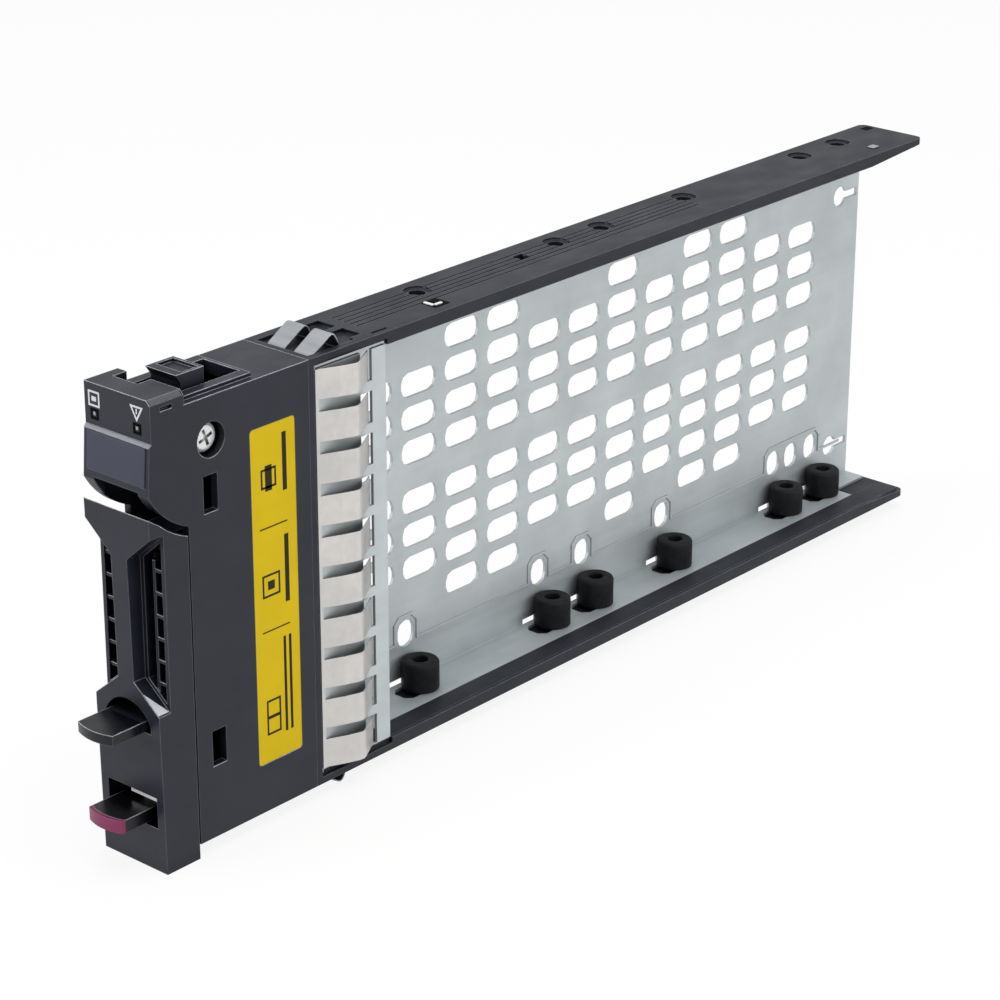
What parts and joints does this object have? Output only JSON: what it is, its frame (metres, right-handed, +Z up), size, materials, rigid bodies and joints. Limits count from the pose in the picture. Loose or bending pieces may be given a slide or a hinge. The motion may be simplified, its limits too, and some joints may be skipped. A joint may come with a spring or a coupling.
{
  "type": "hot swap drive caddy",
  "caption": "Tall narrow drive carrier: perforated steel tray between two plastic rails, moulded front housing and a swing-out lever with a release latch.",
  "frame": {"origin": "centre of the flat underside of the lever's foot, which the caddy stands on", "axes": "+Y from the front face to the rear end that enters the chassis, +Z up along the lever towards the hook, +X towards the tray's open side"},
  "size_m": [0.0179, 0.2266, 0.086],
  "materials": {
    "dark_plastic": "fine texture",
    "magenta_plastic": "satin",
    "zinc_steel": "zinc plated",
    "spring_steel": "plain",
    "black_rubber": "matte",
    "yellow_label": "printed film",
    "dark_panel": "satin",
    "clear_plastic": "clear"
  },
  "bodies": {
    "base": {"front_housing": "dark_plastic", "pivot_screw": "spring_steel", "name_plate": "dark_panel", "light_pipe_left": "clear_plastic", "light_pipe_right": "clear_plastic", "side_label": "yellow_label", "rail_frame": "dark_plastic", "drive_tray": "zinc_steel", "side_spring_strip": "spring_steel", "top_spring_strip": "spring_steel", "bottom_spring_strip": "spring_steel", "bumper_bottom_1": "black_rubber", "bumper_bottom_2": "black_rubber", "bumper_bottom_3": "black_rubber", "bumper_bottom_4": "black_rubber", "bumper_bottom_5": "black_rubber", "bumper_bottom_6": "black_rubber", "bumper_top_1": "black_rubber", "bumper_top_2": "black_rubber", "bumper_top_3": "black_rubber", "bumper_top_4": "black_rubber", "bumper_top_5": "black_rubber", "bumper_top_6": "black_rubber"},
    "lever": {"handle_lever": "dark_plastic", "latch_pin": "spring_steel", "latch_spring": "spring_steel"},
    "latch": {"release_latch": "dark_plastic", "latch_cap": "magenta_plastic"}
  },
  "joints": [
    {"name": "lever_hinge", "type": "hinge", "parent": "base", "child": "lever", "pos_m": [0, 0.0097, 0.075], "axis": [-1, 0, 0], "range_deg": [0, 45]},
    {"name": "latch_hinge", "type": "hinge", "parent": "lever", "child": "latch", "pos_m": [0, 0.0011, 0.0101], "axis": [-1, 0, 0], "range_deg": [0, 12], "stiffness_Nm_per_rad": 0.02, "springref_deg": -5.73}
  ]
}
